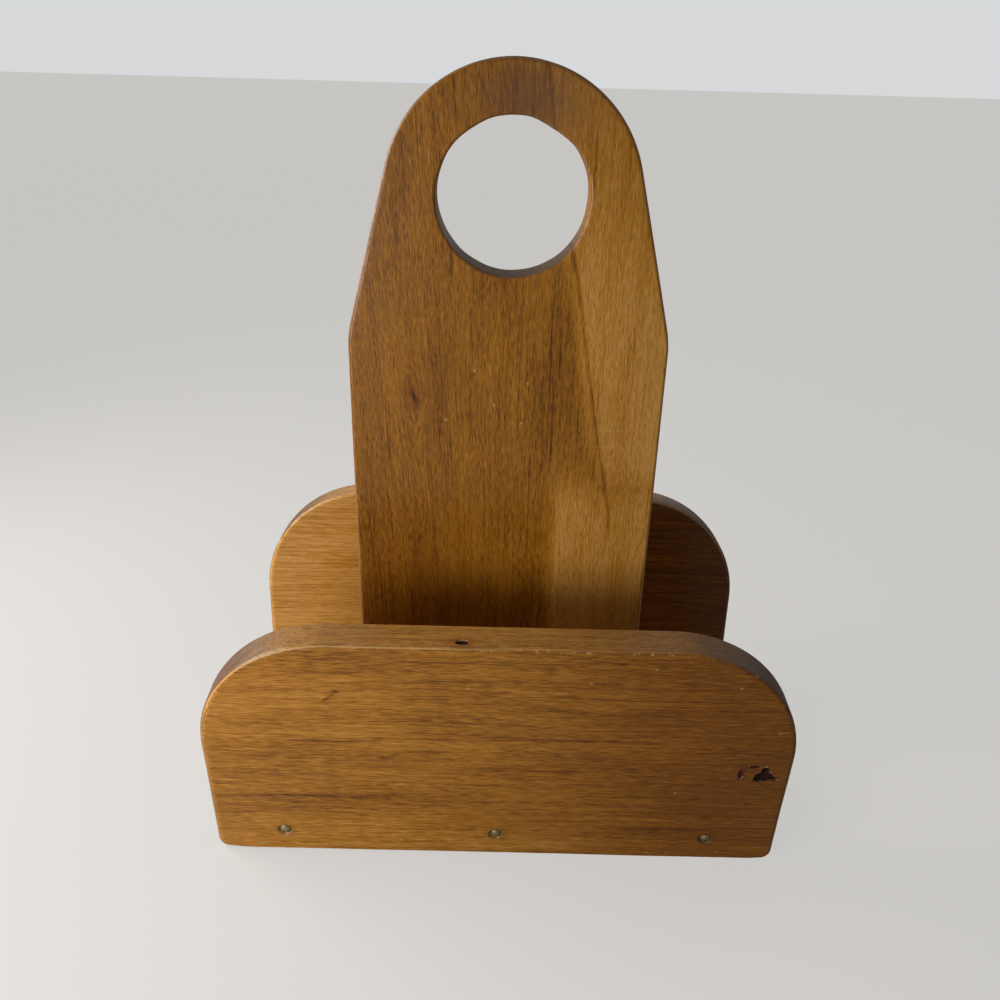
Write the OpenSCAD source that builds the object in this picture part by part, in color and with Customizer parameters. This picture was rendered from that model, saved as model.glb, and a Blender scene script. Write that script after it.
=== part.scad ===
// Napkin holder: two leaning side panels nailed to a base block, with a tall handle board
// between them. Millimetres. X runs along the panels, Y from front to back, Z up, and the
// origin is on the table under the middle of the base.

/* [Side panels] */
// Width of the front and back panels
panel_w = 152; // [110:1:200]
// Height of a panel, measured up its own face
panel_h = 72; // [56:1:100]
// Thickness of a panel
panel_t = 9.5; // [7:0.5:14]
// Radius of a panel's two top corners
panel_top_r = 34; // [12:1:40]
// Radius of a panel's two bottom corners
panel_bottom_r = 3; // [3:0.2:8]
// Outward lean of each panel, in degrees
panel_lean = 4.7; // [0:0.1:10]
// Radius that eases the long edges of the panels and the handle board
edge_r = 1.5; // [0.6:0.1:1.5]

/* [Base block] */
// Depth of the block at its underside, which is the gap between the panels there
base_d = 61; // [48:1:90]
// Height of the block
base_h = 15; // [12:0.5:22]
// How far each end of the block stops short of the panels' ends
base_inset = 3; // [0:0.5:10]

/* [Handle board] */
// Width of the board below its shoulders
handle_w = 79.5; // [74:0.5:100]
// Height of the board from its foot to the top of its arch
handle_h = 183; // [170:1:210]
// Thickness of the board
handle_t = 9.5; // [7:0.5:14]
// Height above the foot at which the sides start to taper
shoulder_h = 117; // [80:1:125]
// Radius that softens each shoulder
shoulder_r = 25; // [10:1:28]
// Radius of the arched top
arch_r = 30.5; // [27:0.5:34]
// Diameter of the hand hole
hole_d = 36; // [24:0.5:44]
// How far the hand hole's centre lies above the arch's centre
hole_rise = 0.7; // [0:0.1:2]

/* [Nails] */
// Diameter of a nail's shank
nail_d = 1.6; // [1.2:0.1:2.2]
// Length of a nail from under its head to its point
nail_l = 25; // [18:1:30]
// Length of a nail's tapered point
nail_point_l = 3; // [1:0.5:5]
// Diameter of a nail's head
nail_head_d = 2.8; // [2.4:0.1:3.6]
// Height of the straight rim of a nail's head
nail_rim_h = 0.2; // [0.1:0.05:0.5]
// Height of the domed top of a nail's head above its rim
nail_dome_h = 0.5; // [0.2:0.05:1]
// Depth of the dimple that the head is set into
dimple_depth = 0.6; // [0.3:0.05:1.2]
// Diameter of the dimple's mouth
dimple_d = 4; // [3.8:0.1:5]
// Distance from a panel's end to its outer nails
nail_end = 19; // [10:1:40]

/* [Handle screws] */
// Diameter of a screw's shank
screw_d = 3.5; // [2.5:0.1:4.5]
// Length of a screw, head included
screw_l = 38; // [26:1:50]
// Length of a screw's tapered point
screw_point_l = 6; // [3:0.5:9]
// Diameter of a screw's countersunk head
screw_head_d = 7; // [6:0.1:9]
// Height of the countersunk head
screw_head_h = 2.4; // [1.8:0.1:3.5]
// Width of the slot in a screw's head
slot_w = 0.9; // [0.6:0.1:1.4]
// Depth of the slot in a screw's head
slot_depth = 0.9; // [0.5:0.1:1.2]
// How far a screw's head is sunk below the underside of the base
screw_sink = 0.4; // [0.1:0.1:1]
// Distance between the two screws
screw_gap = 44; // [24:1:60]

/* [Hidden] */
$fn = 96;
// Sides of the handle board's round corners, and of its rounded edges in section
CORNER_SIDES = 64;
EDGE_SIDES = 24;
// Gap all round a nail or screw in its hole
metal_fit = 0.05;
// How far every cut runs past the face that it opens
overrun = 2;
base_w = panel_w - 2 * base_inset;
// Height of the panel's lower end above the table, up the line of its inner face, at which
// the rounded outer edge just touches the table
panel_foot = (edge_r + (panel_t - edge_r) * sin(panel_lean)) / cos(panel_lean) - edge_r;
// Place of the nails up the line of the inner face: they enter level with the block's middle
nail_up = (base_h / 2 + panel_t * sin(panel_lean)) / cos(panel_lean);
nail_reach = panel_w / 2 - nail_end;
nail_hole_d = nail_d + 2 * metal_fit;
screw_hole_d = screw_d + 2 * metal_fit;
screw_reach = screw_gap / 2;
arch_z = base_h + handle_h - arch_r;
hole_z = arch_z + hole_rise;
BOARD_COLOUR = [0.62, 0.39, 0.17];
BASE_COLOUR = [0.5, 0.3, 0.13];
METAL_COLOUR = [0.42, 0.4, 0.36];

// A board's edge in section: it reaches out along X and is thick along Y, with its two
// outer corners rounded
module edge_section(inner_x, outer_x, thick) {
    corner_x = outer_x - edge_r;
    corner_y = thick / 2 - edge_r;
    translate([inner_x, -thick / 2])
        square([corner_x - inner_x, thick]);
    translate([inner_x, -corner_y])
        square([outer_x - inner_x, 2 * corner_y]);
    for (side = [-1, 1])
        translate([corner_x, side * corner_y])
            circle(edge_r);
}

// Disc with an eased rim, for a round corner of the handle board
module eased_disc(radius, thick) {
    rotate([90, 0, 0])
        rotate_extrude($fn = CORNER_SIDES)
            edge_section(0, radius, thick, $fn = EDGE_SIDES);
}

// Upper right quarter of such a disc, for a round corner of a panel
module eased_corner(radius, thick) {
    rotate([90, 0, 0])
        rotate_extrude(angle = 90)
            edge_section(0, radius, thick);
}

// Straight stretch of a board's eased edge, along Z, with its outer face on X = 0
module eased_rail(length, thick) {
    linear_extrude(length)
        edge_section(-2 * edge_r, 0, thick);
}

// Cut for a round hole along Y whose two rims are eased
module eased_hole(bore_d, thick) {
    rim_r = bore_d / 2 + edge_r;
    rim_y = thick / 2 - edge_r;
    rotate([90, 0, 0])
        rotate_extrude()
            difference() {
                translate([0, -thick / 2 - overrun])
                    square([rim_r, thick + 2 * overrun]);
                translate([bore_d / 2, -rim_y])
                    square([edge_r + overrun, 2 * rim_y]);
                for (side = [-1, 1])
                    translate([rim_r, side * rim_y])
                        circle(edge_r);
            }
}

// Carries a piece from upright, with its inner face on Y = 0, to the front panel's lean
module lean_front() {
    translate([0, -base_d / 2, 0])
        rotate([panel_lean, 0, 0])
            children();
}

// Carries a piece to one nail's place on the front: its Z axis runs into the wood, and its
// origin is on the floor of the dimple
module at_nail(x) {
    lean_front()
        translate([x, dimple_depth - panel_t, nail_up])
            rotate([-90, 0, 0])
                children();
}

// Room for a nail: its dimple, then its shank
module nail_cut() {
    translate([0, 0, -dimple_depth])
        cylinder(d1 = dimple_d, d2 = nail_head_d + 2 * metal_fit, h = dimple_depth);
    translate([0, 0, -dimple_depth - overrun])
        cylinder(d = dimple_d, h = overrun);
    cylinder(d = nail_hole_d, h = nail_l + metal_fit);
}

module front_nail_cuts() {
    for (x = [-nail_reach, 0, nail_reach])
        at_nail(x)
            nail_cut();
}

// Domed finishing nail, whose Z axis runs from under its head to its point
module nail() {
    dome_r = (pow(nail_head_d / 2, 2) + pow(nail_dome_h, 2)) / (2 * nail_dome_h);
    cylinder(d = nail_d, h = nail_l - nail_point_l);
    translate([0, 0, nail_l - nail_point_l])
        cylinder(d1 = nail_d, d2 = 0, h = nail_point_l);
    translate([0, 0, -nail_rim_h])
        cylinder(d = nail_head_d, h = nail_rim_h);
    intersection() {
        translate([0, 0, dome_r - nail_dome_h - nail_rim_h])
            sphere(dome_r);
        translate([0, 0, -nail_rim_h - nail_dome_h])
            cylinder(d = nail_head_d, h = nail_dome_h);
    }
}

// Countersunk wood screw, pointing up from the face of its head
module screw() {
    shank_l = screw_l - screw_head_h - screw_point_l;
    difference() {
        union() {
            cylinder(d1 = screw_head_d, d2 = screw_d, h = screw_head_h);
            translate([0, 0, screw_head_h])
                cylinder(d = screw_d, h = shank_l);
            translate([0, 0, screw_head_h + shank_l])
                cylinder(d1 = screw_d, d2 = 0, h = screw_point_l);
        }
        translate([-screw_head_d / 2 - overrun, -slot_w / 2, -overrun])
            cube([screw_head_d + 2 * overrun, slot_w, slot_depth + overrun]);
    }
}

// Room for a screw: its countersink, then its shank
module screw_cut() {
    translate([0, 0, -screw_sink - overrun])
        cylinder(d = screw_head_d + 2 * metal_fit, h = screw_sink + overrun);
    cylinder(d1 = screw_head_d + 2 * metal_fit, d2 = screw_hole_d, h = screw_head_h);
    cylinder(d = screw_hole_d, h = screw_l + metal_fit);
}

module at_screw(x) {
    translate([x, 0, screw_sink])
        children();
}

// Panel without its nail holes, upright on Z = 0 and centred on Y = 0
module panel_blank() {
    side_x = panel_w / 2;
    top_x = side_x - panel_top_r;
    top_z = panel_h - panel_top_r;
    low_x = side_x - panel_bottom_r;
    rotate([90, 0, 0])
        linear_extrude(panel_t, center = true)
            polygon([[low_x, edge_r], [side_x - edge_r, panel_bottom_r],
                [side_x - edge_r, top_z], [top_x, panel_h - edge_r],
                [-top_x, panel_h - edge_r], [edge_r - side_x, top_z],
                [edge_r - side_x, panel_bottom_r], [-low_x, edge_r]]);
    translate([top_x, 0, panel_h])
        rotate([0, -90, 0])
            eased_rail(2 * top_x, panel_t);
    translate([-low_x, 0, 0])
        rotate([0, 90, 0])
            eased_rail(2 * low_x, panel_t);
    for (side = [0, 1])
        mirror([side, 0, 0]) {
            translate([top_x, 0, top_z])
                eased_corner(panel_top_r, panel_t);
            translate([low_x, 0, panel_bottom_r])
                mirror([0, 0, 1])
                    eased_corner(panel_bottom_r, panel_t);
            translate([side_x, 0, panel_bottom_r])
                eased_rail(top_z - panel_bottom_r, panel_t);
        }
}

module side_panel() {
    difference() {
        lean_front()
            translate([0, -panel_t / 2, panel_foot])
                panel_blank();
        front_nail_cuts();
    }
}

module front_panel() {
    color(BOARD_COLOUR)
        side_panel();
}

module back_panel() {
    color(BOARD_COLOUR)
        mirror([0, 1, 0])
            side_panel();
}

module base_block() {
    half_low = base_d / 2;
    half_high = half_low + base_h * tan(panel_lean);
    color(BASE_COLOUR)
        difference() {
            rotate([90, 0, 90])
                linear_extrude(base_w, center = true)
                    polygon([[-half_low, 0], [half_low, 0],
                        [half_high, base_h], [-half_high, base_h]]);
            front_nail_cuts();
            mirror([0, 1, 0])
                front_nail_cuts();
            for (x = [-screw_reach, screw_reach])
                at_screw(x)
                    screw_cut();
        }
}

module handle_board() {
    side_x = handle_w / 2 - shoulder_r;
    color(BOARD_COLOUR)
        difference() {
            hull() {
                translate([0, 0, arch_z])
                    eased_disc(arch_r, handle_t);
                for (x = [-side_x, side_x], z = [base_h - shoulder_r, base_h + shoulder_h])
                    translate([x, 0, z])
                        eased_disc(shoulder_r, handle_t);
            }
            translate([-handle_w, -handle_t, base_h - 3 * shoulder_r])
                cube([2 * handle_w, 2 * handle_t, 3 * shoulder_r]);
            translate([0, 0, hole_z])
                eased_hole(hole_d, handle_t);
            for (x = [-screw_reach, screw_reach])
                at_screw(x)
                    screw_cut();
        }
}

module front_nail(x) {
    color(METAL_COLOUR)
        at_nail(x)
            nail();
}

module back_nail(x) {
    mirror([0, 1, 0])
        front_nail(x);
}

module handle_screw(x) {
    color(METAL_COLOUR)
        at_screw(x)
            screw();
}

front_panel();
back_panel();
handle_board();
base_block();
front_nail(-nail_reach);  // front_nail_left
front_nail(0);  // front_nail_middle
front_nail(nail_reach);  // front_nail_right
back_nail(-nail_reach);  // back_nail_left
back_nail(0);  // back_nail_middle
back_nail(nail_reach);  // back_nail_right
handle_screw(-screw_reach);  // handle_screw_left
handle_screw(screw_reach);  // handle_screw_right
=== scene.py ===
# %% [markdown]
# This lesson dresses a small wooden napkin holder. Two leaning side panels are nailed to a
# hidden base block, and a tall handle board with a round hand hole stands between them.
# The construction comes in as a fixed frame, at its real size and in metres. Every new piece
# is made where the frame says that it is, so nothing has to be fitted afterwards.

# %% Load the frame
import math
from contextlib import contextmanager

import bmesh
import bpy
from mathutils import Matrix, Vector


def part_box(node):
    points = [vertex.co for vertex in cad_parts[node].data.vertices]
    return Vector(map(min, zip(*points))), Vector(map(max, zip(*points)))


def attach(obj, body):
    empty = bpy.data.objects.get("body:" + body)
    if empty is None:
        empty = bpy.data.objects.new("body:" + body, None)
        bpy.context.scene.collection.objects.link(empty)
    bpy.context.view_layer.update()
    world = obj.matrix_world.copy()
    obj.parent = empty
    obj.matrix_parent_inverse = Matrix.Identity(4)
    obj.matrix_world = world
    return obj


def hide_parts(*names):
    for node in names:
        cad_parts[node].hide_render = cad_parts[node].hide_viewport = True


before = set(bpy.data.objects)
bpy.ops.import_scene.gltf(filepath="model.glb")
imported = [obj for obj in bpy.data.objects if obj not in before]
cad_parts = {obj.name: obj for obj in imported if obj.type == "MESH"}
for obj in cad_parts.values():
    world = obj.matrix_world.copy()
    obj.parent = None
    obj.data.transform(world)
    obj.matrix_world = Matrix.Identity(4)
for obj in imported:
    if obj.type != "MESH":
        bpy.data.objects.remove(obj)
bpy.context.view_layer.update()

MM = 0.001
BODY = "root"
print("frame nodes:", sorted(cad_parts))

# %% [markdown]
# The sizes of the boards are written once. What the frame can tell is read from its boxes,
# and the rest, such as a radius or the lean, is named here. Both panels lean outwards by the
# same small angle, so one panel can be modelled upright and leaned afterwards. `FOOT` lifts
# it until its leaned rim just touches the ground.

# %% Sizes of the boards
panel_low, panel_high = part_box("front_panel")
handle_low, handle_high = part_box("handle_board")
base_low, base_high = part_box("base_block")

EDGE_R = 1.5 * MM
PANEL_W = panel_high.x - panel_low.x
PANEL_H = 72 * MM
PANEL_T = 9.5 * MM
PANEL_TOP_R = 34 * MM
PANEL_BOTTOM_R = 3 * MM
LEAN = math.radians(4.7)
FOOT = (EDGE_R + (PANEL_T - EDGE_R) * math.sin(LEAN)) / math.cos(LEAN) - EDGE_R

BASE_W = base_high.x - base_low.x
BASE_H = base_high.z
BASE_D = base_high.y - base_low.y - 2 * BASE_H * math.tan(LEAN)

HANDLE_W = handle_high.x - handle_low.x
HANDLE_T = handle_high.y - handle_low.y
HANDLE_TOP = handle_high.z
SHOULDER_Z = BASE_H + 117 * MM
SHOULDER_R = 25 * MM
ARCH_R = 30.5 * MM
ARCH_Z = HANDLE_TOP - ARCH_R
HOLE_R = 18 * MM
HOLE_Z = ARCH_Z + 0.7 * MM
print("gap between the panels at the foot:", round(BASE_D / MM, 1), "mm")

# %% [markdown]
# A leaned panel is easiest to think of in its own upright axes: X along the panel, Z up the
# line of its inner face, and Y through the board, with the inner face on zero. One matrix
# carries these axes to the front, and half a turn more carries them to the back.

# %% Places of the panels and the metal
LEAN_FRONT = Matrix.Translation((0, -BASE_D / 2, 0)) @ Matrix.Rotation(LEAN, 4, "X")
LEAN_BACK = Matrix.Rotation(math.pi, 4, "Z") @ LEAN_FRONT

NAIL_D = 1.7 * MM
NAIL_L = 25.05 * MM
NAIL_END = 19 * MM
DIMPLE_D = 4 * MM
DIMPLE_FLOOR_D = 2.9 * MM
DIMPLE_DEPTH = 0.6 * MM
NAIL_UP = (BASE_H / 2 + PANEL_T * math.sin(LEAN)) / math.cos(LEAN)
NAIL_PLACES = [
    Matrix.Translation((x, DIMPLE_DEPTH - PANEL_T, NAIL_UP))
    for x in (NAIL_END - PANEL_W / 2, 0, PANEL_W / 2 - NAIL_END)
]

SCREW_D = 3.6 * MM
SCREW_L = 38.05 * MM
SCREW_HEAD_D = 7.1 * MM
SCREW_HEAD_H = 2.4 * MM
SCREW_SINK = 0.4 * MM
SCREW_REACH = 22 * MM
SCREW_PLACES = [Matrix.Translation((x, 0, SCREW_SINK)) for x in (-SCREW_REACH, SCREW_REACH)]
print("nails", round(NAIL_UP / MM, 2), "mm up the panel's inner face")

# %% [markdown]
# The picture is square, so the lens is given for a square of 36 mm. The camera stands close
# in front of the holder, a little above it, and looks down. It is also rolled by one and a
# half degrees, so the foot of the front panel runs slightly downhill.

# %% Camera
CAMERA_PLACE = Vector((-2.5, -227.2, 199.2)) * MM
CAMERA_YAW, CAMERA_PITCH, CAMERA_ROLL = 0.0065, 0.4524, 0.0279
FOCAL_SHARE = 0.9273
SENSOR_MM = 36
NEAREST_SEEN, FARTHEST_SEEN = 0.01, 60

camera_data = bpy.data.cameras.new("camera")
camera_data.sensor_width = SENSOR_MM
camera_data.lens = FOCAL_SHARE * SENSOR_MM
camera_data.clip_start, camera_data.clip_end = NEAREST_SEEN, FARTHEST_SEEN
camera = bpy.data.objects.new("camera", camera_data)
camera.matrix_world = (
    Matrix.Translation(CAMERA_PLACE)
    @ Matrix.Rotation(-CAMERA_YAW, 4, "Z")
    @ Matrix.Rotation(math.pi / 2 - CAMERA_PITCH, 4, "X")
    @ Matrix.Rotation(CAMERA_ROLL, 4, "Z")
)
bpy.context.collection.objects.link(camera)
bpy.context.scene.camera = camera
print("lens:", round(camera_data.lens, 2), "mm")

# %% [markdown]
# A `Signal` wraps one socket that carries a number, so that `1 - mask * 0.5` adds the Math
# nodes by itself.

# %% Signals
class Signal:
    """A socket that carries a number, with arithmetic that adds Math nodes."""

    def __init__(self, recipe, socket):
        self.recipe, self.socket = recipe, socket

    def maths(self, operation, *values):
        return self.recipe.node("ShaderNodeMath", {"operation": operation}, dict(enumerate(values)))

    def __add__(self, other):
        return self.maths("ADD", self, other)

    def __sub__(self, other):
        return self.maths("SUBTRACT", self, other)

    def __rsub__(self, other):
        return self.maths("SUBTRACT", other, self)

    def __mul__(self, other):
        return self.maths("MULTIPLY", self, other)

    def __truediv__(self, other):
        return self.maths("DIVIDE", self, other)

    def __pow__(self, other):
        return self.maths("POWER", self, other)

    def __abs__(self):
        return self.maths("ABSOLUTE", self)

    __radd__, __rmul__ = __add__, __mul__

    def fraction(self):
        return self.maths("FRACT", self)

    def at_least(self, other):
        return self.maths("MAXIMUM", self, other)

    def at_most(self, other):
        return self.maths("MINIMUM", self, other)

    def fade(self):
        """Falls off like a bell from 1, for the square of a distance."""
        return self.maths("EXPONENT", 0 - self)

    def rise(self, low, high):
        """Climbs smoothly from 0 at low to 1 at high, or falls where low is the larger."""
        settings = {"interpolation_type": "SMOOTHSTEP"}
        return self.recipe.node("ShaderNodeMapRange", settings, {0: self, 1: low, 2: high})


print("signals ready")

# %% [markdown]
# A `Recipe` is the node tree of one finish. Its `node` method makes every other node, from a
# type, its settings, and the values or links of its sockets, so a finish becomes a short list
# of steps. Colours are mixed by `blend`, because a Math node would turn them grey.

# %% Recipes
class Recipe:
    """The node tree of one finish, for a material or for the world."""

    def __init__(self, owner):
        self.owner = owner
        owner.use_nodes = True
        self.tree = owner.node_tree
        self.tree.nodes.clear()

    def node(self, kind, settings=None, inputs=None, output=0):
        made = self.tree.nodes.new(kind)
        for name, value in (settings or {}).items():
            if name == "stops":
                self.set_stops(made.color_ramp.elements, value)
            else:
                setattr(made, name, value)
        for name, value in (inputs or {}).items():
            if isinstance(value, Signal):
                self.tree.links.new(value.socket, made.inputs[name])
            else:
                made.inputs[name].default_value = value
        return Signal(self, made.outputs[output]) if made.outputs else None

    @staticmethod
    def set_stops(elements, stops):
        while len(elements) < len(stops):
            elements.new(1)
        for element, (place, colour) in zip(elements, stops):
            element.position, element.color = place, (*colour, 1)

    def point(self, x, y, z):
        return self.node("ShaderNodeCombineXYZ", inputs={0: x, 1: y, 2: z})

    def numbers(self, vector):
        return [self.node("ShaderNodeSeparateXYZ", inputs={0: vector}, output=i) for i in range(3)]

    def noise(self, point, detail=2.0, roughness=0.5):
        inputs = {"Vector": point, "Scale": 1.0, "Detail": detail, "Roughness": roughness}
        return self.node("ShaderNodeTexNoise", {}, inputs)

    def blend(self, share, first, second):
        """Mixes two colours: share 0 gives the first, and 1 the second."""
        first, second = ((*c, 1) if isinstance(c, tuple) else c for c in (first, second))
        return self.node("ShaderNodeMix", {"data_type": "RGBA"}, {0: share, 6: first, 7: second}, 2)

    def finish(self, shader, output="ShaderNodeOutputMaterial"):
        self.node(output, inputs={"Surface": shader})
        return self.owner


print("recipes ready")

# %% [markdown]
# The stage is a plain pale floor. Its own colour is pale, and for the camera a share of even
# light is mixed in, so that the floor stays light far from the lamps. The shadow of the holder
# still shows on it. Gloss on the holder mirrors a little of that light too, so that the nails
# have something pale to reflect. The floor lies a hair below the feet of the boards.

# %% Floor
FLOOR_COLOUR = (0.44, 0.415, 0.38)
FLOOR_GLOW = (0.92, 0.90, 0.87)
FLOOR_GLOW_SHARE = 0.58
FLOOR_ROUGHNESS = 0.75
FLOOR_WIDTH = 12
FLOOR_DROP = 0.05 * MM
FLOOR_IN_GLOSS = 0.12


def background_share(recipe, share_in_gloss):
    """1 for what the camera sees, also through glass, and less for what a gloss mirrors."""
    seen, through, mirrored = (
        recipe.node("ShaderNodeLightPath", output="Is " + ray + " Ray")
        for ray in ("Camera", "Transmission", "Glossy")
    )
    return seen.at_least(through).at_least(mirrored * share_in_gloss)


def floor_finish():
    recipe = Recipe(bpy.data.materials.new("pale_floor"))
    matt = {"Base Color": (*FLOOR_COLOUR, 1), "Roughness": FLOOR_ROUGHNESS}
    matt = recipe.node("ShaderNodeBsdfPrincipled", {}, matt)
    glow = recipe.node("ShaderNodeEmission", {}, {"Color": (*FLOOR_GLOW, 1)})
    share = background_share(recipe, FLOOR_IN_GLOSS) * FLOOR_GLOW_SHARE
    return recipe.finish(recipe.node("ShaderNodeMixShader", {}, {0: share, 1: matt, 2: glow}))


bpy.ops.mesh.primitive_plane_add(size=FLOOR_WIDTH, location=(0, 0, -FLOOR_DROP))
bpy.ops.object.transform_apply(location=True)
floor = bpy.context.object
floor.name = "floor"
floor.data.materials.append(floor_finish())
print("floor:", FLOOR_WIDTH, "m wide")

# %% [markdown]
# Three soft lamps light the holder: one low on the left in front of it, one higher at its left
# side, and a weaker one high above. They draw the long soft shadows inside the holder. The
# world adds an even, weak light from all round, and for the camera it is a pale backdrop.
# Gloss mirrors half of that backdrop, so that the varnish doesn't look milky.

# %% Lamps and world
LOOK_AT = Vector((0, 0, 70 * MM))
SOFT_LAMPS = {
    "window_lamp": {"place": (-0.20, -0.24, 0.105), "size": (0.20, 0.10), "power": 0.6},
    "side_lamp": {"place": (-0.30, 0.04, 0.22), "size": (0.20, 0.20), "power": 1.0},
    "high_lamp": {"place": (-0.05, 0.0, 0.80), "size": (0.6, 0.6), "power": 0.5},
}
WORLD_COLOUR = (0.93, 0.96, 1.0)
WORLD_STRENGTH = 0.13
BACKDROP_COLOUR = (0.68, 0.69, 0.70)
BACKDROP_IN_GLOSS = 0.5


def add_lamp(name, place, size, power):
    lamp = bpy.data.lights.new(name, "AREA")
    lamp.shape = "RECTANGLE"
    lamp.size, lamp.size_y = size
    lamp.energy = power
    stand = bpy.data.objects.new(name, lamp)
    stand.location = place
    stand.rotation_euler = (LOOK_AT - Vector(place)).to_track_quat("-Z", "Y").to_euler()
    stand.visible_camera = False
    bpy.context.collection.objects.link(stand)


def studio_world():
    recipe = Recipe(bpy.data.worlds.new("studio"))
    even = recipe.node(
        "ShaderNodeBackground", {}, {"Color": (*WORLD_COLOUR, 1), "Strength": WORLD_STRENGTH}
    )
    backdrop = recipe.node("ShaderNodeBackground", {}, {"Color": (*BACKDROP_COLOUR, 1)})
    share = background_share(recipe, BACKDROP_IN_GLOSS)
    mixed = recipe.node("ShaderNodeMixShader", {}, {0: share, 1: even, 2: backdrop})
    return recipe.finish(mixed, "ShaderNodeOutputWorld")


for lamp_name, facts in SOFT_LAMPS.items():
    add_lamp(lamp_name, **facts)
bpy.context.scene.world = studio_world()
bpy.context.scene.view_settings.view_transform = "Standard"
print("lamps:", ", ".join(SOFT_LAMPS))

# %% [markdown]
# Modelling by operators needs a few habits. An operator acts on all that is selected, so a
# piece is always selected alone, and in edit mode the wanted points or edges are picked by a
# test on their place.

# %% Picking
def select_only(piece):
    bpy.ops.object.select_all(action="DESELECT")
    piece.select_set(True)
    bpy.context.view_layer.objects.active = piece


@contextmanager
def edit_mode(piece):
    select_only(piece)
    bpy.ops.object.mode_set(mode="EDIT")
    bpy.ops.mesh.select_all(action="SELECT")
    yield
    bpy.ops.object.mode_set(mode="OBJECT")


def pick(piece, kind, test):
    """Selects the verts or the edges whose test holds, and nothing else."""
    bpy.ops.mesh.select_mode(type={"verts": "VERT", "edges": "EDGE"}[kind])
    bpy.ops.mesh.select_all(action="DESELECT")
    shape = bmesh.from_edit_mesh(piece.data)
    for part in [part for part in getattr(shape, kind) if test(part)]:
        part.select_set(True)
    bmesh.update_edit_mesh(piece.data)


print("ready to pick")

# %% [markdown]
# A modifier is applied as soon as it is set, so that the next step works on real faces. What
# an operator has added gets its name at once, and its turn and size are applied, because a
# finished piece stands at the origin with its place in its mesh.

# %% Modifiers, names and copies
def apply_modifier(piece, kind, **settings):
    select_only(piece)
    modifier = piece.modifiers.new(kind.lower(), kind)
    for name, value in settings.items():
        setattr(modifier, name, value)
    bpy.ops.object.modifier_apply(modifier=modifier.name)


def named(name):
    """Names the object that an operator has just added, with its turn and size applied."""
    piece = bpy.context.object
    piece.name = piece.data.name = name
    bpy.ops.object.transform_apply(location=True, rotation=True, scale=True)
    return piece


def copy_of(piece, name):
    twin = piece.copy()
    twin.data = piece.data.copy()
    twin.name = twin.data.name = name
    bpy.context.collection.objects.link(twin)
    return twin


print("ready to model")

# %% [markdown]
# Both kinds of board go through the same steps after their outline is drawn. The flat outline
# is extruded to the plank's thickness, its sharp rims are eased as with sandpaper, and it is
# cut into a net of small faces. A Bevel modifier that follows edge weights eases each rim by
# its own radius.

# %% Steps that every board goes through
SHARP = math.radians(45)
NEAR = EDGE_R / 10
NET_PITCH = 4 * MM
RIM_STEPS = 6
ROUNDEST_RIM = 2.6 * MM


def thicken(piece, thickness):
    with edit_mode(piece):
        bpy.ops.mesh.extrude_region_move(TRANSFORM_OT_translate={"value": (0, thickness, 0)})
        bpy.ops.mesh.select_all(action="SELECT")
        bpy.ops.mesh.normals_make_consistent(inside=False)


def ease_rims(piece, radius_at):
    """Rounds each sharp rim by a radius, which depends on where the rim is."""
    shape = bmesh.new()
    shape.from_mesh(piece.data)
    weight = shape.edges.layers.float.new("bevel_weight_edge")
    for edge in shape.edges:
        one, other = (vert.co for vert in edge.verts)
        if edge.calc_face_angle(0) > SHARP and abs(one.y - other.y) < NEAR:
            edge[weight] = radius_at((one + other) / 2) / ROUNDEST_RIM
    shape.to_mesh(piece.data)
    shape.free()
    settings = {"limit_method": "WEIGHT", "use_clamp_overlap": False}
    apply_modifier(piece, "BEVEL", width=ROUNDEST_RIM, segments=RIM_STEPS, **settings)


def cut_net(piece):
    corners = [Vector(corner) for corner in piece.bound_box]
    low, high = corners[0], corners[6]
    with edit_mode(piece):
        for axis, normal in ((0, (1, 0, 0)), (2, (0, 0, 1))):
            count = round((high[axis] - low[axis]) / NET_PITCH)
            for step in range(1, count):
                place = low.lerp(high, step / count)
                bpy.ops.mesh.select_all(action="SELECT")
                bpy.ops.mesh.bisect(plane_co=place, plane_no=normal)


print("steps: thicken, ease, net")

# %% [markdown]
# No hand-made board is quite flat, so the net is moved a little, by a Displace modifier that
# reads a soft noise. Holes for nails and screws are cut after that, so that they still fit.
# At the end, smooth shading with weighted normals makes the rims round and keeps flats flat.

# %% Steps that finish a board
SMOOTH_BELOW = math.radians(32)
WAVE_MIDDLE = 0.75


def move_by_hand(piece, reach, depth):
    """Lets the surface wander inwards by up to a depth, in waves as long as the reach."""
    cloud = bpy.data.textures.new(piece.name + "_waves", "CLOUDS")
    cloud.noise_scale = reach
    apply_modifier(piece, "DISPLACE", texture=cloud, strength=depth, mid_level=WAVE_MIDDLE)


def smooth(piece):
    """Shades curves smooth and keeps flats flat, because larger faces weigh more."""
    select_only(piece)
    bpy.ops.object.shade_smooth_by_angle(angle=SMOOTH_BELOW)
    apply_modifier(piece, "WEIGHTED_NORMAL", keep_sharp=True)


def drill(piece, tool, places):
    """Cuts the shape of a tool out of a piece at each place."""
    for place in places:
        bit = copy_of(tool, "bit")
        bit.data.transform(place)
        apply_modifier(piece, "BOOLEAN", object=bit, operation="DIFFERENCE", solver="EXACT")
        bpy.data.objects.remove(bit)


print("steps: move, smooth, drill")

# %% [markdown]
# The nails sit in small dimples, where the hammer and the punch have pressed the wood in, and
# the screws sit in countersinks. Both are cut with tools that are turned as on a lathe: a
# disc is extruded step by step along its axis, and resized after each step.

# %% Tools for the nails and screws
TURNED_SIDES = 32
OVERRUN = 2 * MM
NAIL_SEAT = 0.02 * MM


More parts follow.
